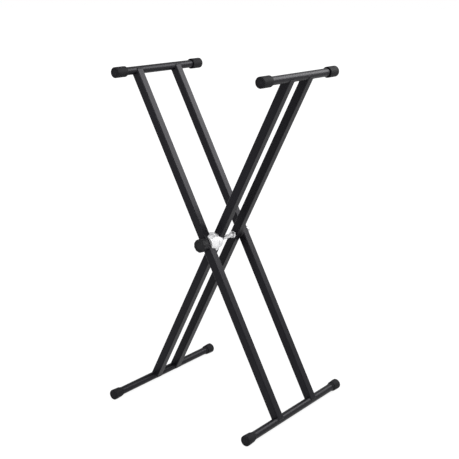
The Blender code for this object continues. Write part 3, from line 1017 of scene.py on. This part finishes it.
class STAND_OT_knob(StandOperator, bpy.types.Operator):
    """Build the clutch knob"""

    bl_idname = "stand.knob"
    bl_label = "Knob"

    def execute(self, context):
        grip_knob()
        return {"FINISHED"}


class STAND_OT_hardware(StandOperator, bpy.types.Operator):
    """Build the axle, nuts, washers and spacer"""

    bl_idname = "stand.hardware"
    bl_label = "Axle hardware"

    def execute(self, context):
        threaded_axle()
        hex_nut("front_flange_nut", "front_inner_nut", towards=1)
        hex_nut("rear_flange_nut", "rear_inner_nut", towards=-1)
        hex_nut("rear_dome_nut", "dome_nut", towards=1, domed=True)
        plain_ring("rear_seat_washer", "rear_washer", "steel", "outer_frame", soft=0.0004)
        plain_ring("knob_thrust_washer", "knob_washer", "steel", "knob_thrust", soft=0.0004)
        plain_ring("rear_leg_spacer", "rear_spacer", "nylon", "outer_frame", soft=0.0009)
        return {"FINISHED"}


class STAND_OT_carried(StandOperator, bpy.types.Operator):
    """Give the frame's own pieces their finishes"""

    bl_idname = "stand.carried"
    bl_label = "Carried-over pieces"

    def execute(self, context):
        kinds = {"sleeve": "steel", "spring": "steel", "insert": "brass"}
        for name, node in frame["nodes"].items():
            for word, finish in kinds.items():
                if word in name:
                    node.data.materials.clear()
                    node.data.materials.append(finish_named(finish))
        return {"FINISHED"}


WHITE = (1.0, 1.0, 1.0, 1.0)

# Half the floor's side, and how far from the stand its shadow keeps its full strength
FLOOR_REACH = 30.0
SHADOW_REACH = 0.9

# Heights, as the Z of a direction, where the ceiling starts to soften and where it has fully
CEILING_START = 0.35
CEILING_FULL = 0.8


# Place, target, size and power of each lamp
LAMPS = {
    "key_behind_right": ((1.3, 2.3, 2.3), (0, 0, 0.6), (2.0, 1.8), 92.0),
    "top": ((0.2, -0.3, 3.4), (0, 0, 0.5), (2.0, 2.0), 20.0),
    "front_fill": ((1.2, -3.0, 2.6), (0, 0, 0.5), (1.6, 1.2), 70.0),
}


def area_light(name, place, target, size, power):
    """A soft box that faces its target."""
    lamp = bpy.data.lights.new(name, "AREA")
    lamp.shape = "RECTANGLE"
    lamp.size, lamp.size_y = size
    lamp.energy = power
    holder = bpy.data.objects.new(name, lamp)
    holder.location = place
    holder.rotation_euler = (Vector(target) - Vector(place)).to_track_quat("-Z", "Y").to_euler()
    bpy.context.scene.collection.objects.link(holder)


def make_world(ambient, ceiling):
    """A white studio with a softer ceiling: white where it is seen, softer as light."""
    world = bpy.data.worlds.new("studio")
    bpy.context.scene.world = world
    world.use_nodes = True
    world.node_tree.nodes.clear()
    nodes = Nodes(world.node_tree)
    direction = nodes.node("ShaderNodeTexCoord", {}, {}, "Generated")
    height = nodes.node("ShaderNodeSeparateXYZ", {}, {0: direction}, "Z")
    light = nodes.node("ShaderNodeBackground", {}, {"Color": WHITE, "Strength": ambient})
    strength = nodes.ramp(height, CEILING_START, CEILING_FULL, 1.0, ceiling)
    white = nodes.node("ShaderNodeBackground", {}, {"Color": WHITE, "Strength": strength})
    both = nodes.node("ShaderNodeMixShader", {}, {0: nodes.seen(), 1: light, 2: white})
    nodes.node("ShaderNodeOutputWorld", {}, {"Surface": both}, None)


def make_floor(colour, shadow_share, glow):
    """A wide pale floor that keeps the stand's shadow and is white further out."""
    shape = bmesh.new()
    bmesh.ops.create_grid(shape, x_segments=1, y_segments=1, size=FLOOR_REACH)
    mesh = bpy.data.meshes.new("studio_floor")
    shape.to_mesh(mesh)
    shape.free()
    floor = bpy.data.objects.new("studio_floor", mesh)
    bpy.context.scene.collection.objects.link(floor)
    material = bpy.data.materials.new("studio_floor")
    material.use_nodes = True
    material.node_tree.nodes.clear()
    nodes = Nodes(material.node_tree)
    place = nodes.node("ShaderNodeTexCoord", {}, {}, "Object")
    reach = nodes.node("ShaderNodeVectorMath", {"operation": "LENGTH"}, {0: place}, "Value")
    share = nodes.ramp(reach, SHADOW_REACH, 3 * SHADOW_REACH, 1.0 - shadow_share, 1.0)
    matt = nodes.node("ShaderNodeBsdfDiffuse", {}, {"Color": (*colour, 1.0)})
    white = nodes.node("ShaderNodeEmission", {}, {"Color": WHITE, "Strength": glow})
    both = nodes.node("ShaderNodeMixShader", {}, {0: nodes.seen() * share, 1: matt, 2: white})
    nodes.node("ShaderNodeOutputMaterial", {}, {"Surface": both}, None)
    mesh.materials.append(material)


class STAND_OT_stage(StandOperator, bpy.types.Operator):
    """Set the camera, the floor and the light"""

    bl_idname = "stand.stage"
    bl_label = "Stage"

    def execute(self, context):
        settings = context.scene.stand_stage
        lens = bpy.data.cameras.new("camera")
        lens.sensor_width = 36.0
        lens.lens = settings.focal_pixels / settings.image_width * lens.sensor_width
        lens.clip_end = 100.0
        camera = bpy.data.objects.new("camera", lens)
        tilt = math.radians(90) - settings.pitch
        turn = Matrix.Rotation(settings.yaw, 4, "Z") @ Matrix.Rotation(tilt, 4, "X")
        camera.matrix_world = (Matrix.Translation(PIVOT + Vector(settings.camera_offset)) @ turn
                               @ Matrix.Rotation(settings.roll, 4, "Z"))
        context.scene.collection.objects.link(camera)
        context.scene.camera = camera
        context.scene.view_settings.view_transform = "Standard"
        make_world(ambient=0.28, ceiling=0.35)
        make_floor(tuple(settings.floor_colour), shadow_share=0.2, glow=1.12)
        for name, (place, target, size, power) in LAMPS.items():
            area_light(name, place, target, size, power)
        return {"FINISHED"}


OPERATORS = (STAND_OT_legs, STAND_OT_bars, STAND_OT_welds, STAND_OT_caps, STAND_OT_clutch, STAND_OT_knob,
             STAND_OT_hardware, STAND_OT_carried, STAND_OT_stage)


class STAND_PT_panel(bpy.types.Panel):
    """The stand's sizes and the buttons that build it"""

    bl_idname = "STAND_PT_panel"
    bl_label = "Keyboard stand"
    bl_space_type = "VIEW_3D"
    bl_region_type = "UI"
    bl_category = "Stand"

    def draw(self, context):
        scene = context.scene
        for group in (scene.stand_frame, scene.stand_caps, scene.stand_clutch, scene.stand_finishes,
                      scene.stand_stage):
            box = self.layout.box()
            for name in group.bl_rna.properties.keys():
                if name not in {"rna_type", "name"}:
                    box.prop(group, name)
        for operator in OPERATORS:
            self.layout.operator(operator.bl_idname)


GROUPS = {"stand_frame": FrameSizes, "stand_caps": CapSizes, "stand_clutch": ClutchSizes,
          "stand_finishes": Finishes, "stand_stage": StageSettings}


def register():
    """Register the classes and their properties."""
    for name, group in GROUPS.items():
        bpy.utils.register_class(group)
        setattr(bpy.types.Scene, name, PointerProperty(type=group))
    for item in (*OPERATORS, STAND_PT_panel):
        bpy.utils.register_class(item)


def unregister():
    """Take the classes and their properties away again."""
    for item in reversed((*OPERATORS, STAND_PT_panel)):
        bpy.utils.unregister_class(item)
    for name, group in GROUPS.items():
        delattr(bpy.types.Scene, name)
        bpy.utils.unregister_class(group)


def main():
    """Build the whole stand and its stage."""
    register()
    bpy.ops.stand.legs()
    bpy.ops.stand.bars()
    bpy.ops.stand.welds()
    bpy.ops.stand.caps()
    bpy.ops.stand.clutch()
    bpy.ops.stand.knob()
    bpy.ops.stand.hardware()
    bpy.ops.stand.carried()
    bpy.ops.stand.stage()


if __name__ == "__main__":
    main()
